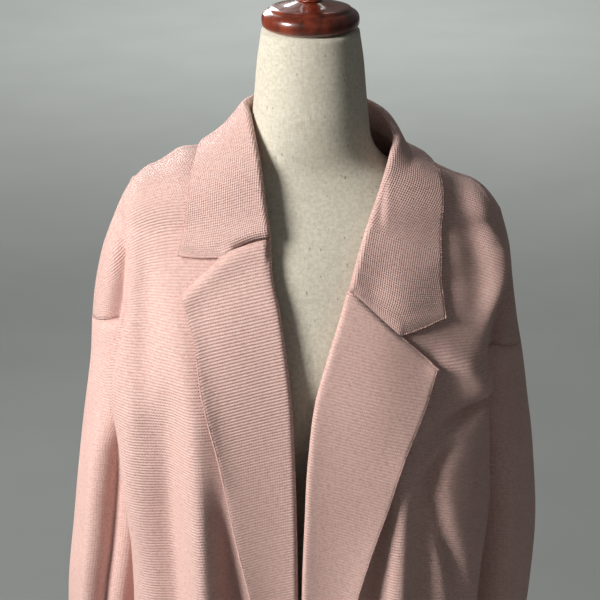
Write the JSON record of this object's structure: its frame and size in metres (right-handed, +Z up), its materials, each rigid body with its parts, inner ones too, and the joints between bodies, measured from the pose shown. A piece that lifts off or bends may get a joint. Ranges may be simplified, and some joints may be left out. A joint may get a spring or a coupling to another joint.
{
  "type": "cardigan blazer on dress form",
  "caption": "Open-front knitted cardigan blazer with a notched collar and dropped sleeves, hanging on a limbless linen dress form on a turned wooden stand.",
  "frame": {"origin": "on the floor, at the middle of the whole part's outline seen from above", "axes": "+Z up the stand, the garment's front towards -Y, the viewer's left sleeve towards -X"},
  "size_m": [0.5624, 0.386, 1.575],
  "materials": {
    "pink_knit": "matt heathered fine-gauge knit",
    "cream_linen": "matt plain-woven linen",
    "cherry_wood": "glossy varnish"
  },
  "bodies": {
    "root": {"front_left": "pink_knit", "front_right": "pink_knit", "back": "pink_knit", "collar": "pink_knit", "sleeve_left": "pink_knit", "sleeve_right": "pink_knit", "form": "cream_linen", "neck_cap": "cherry_wood", "cap_knob": "cherry_wood", "stand_pole": "cherry_wood", "stand_base": "cherry_wood"}
  },
  "joints": []
}
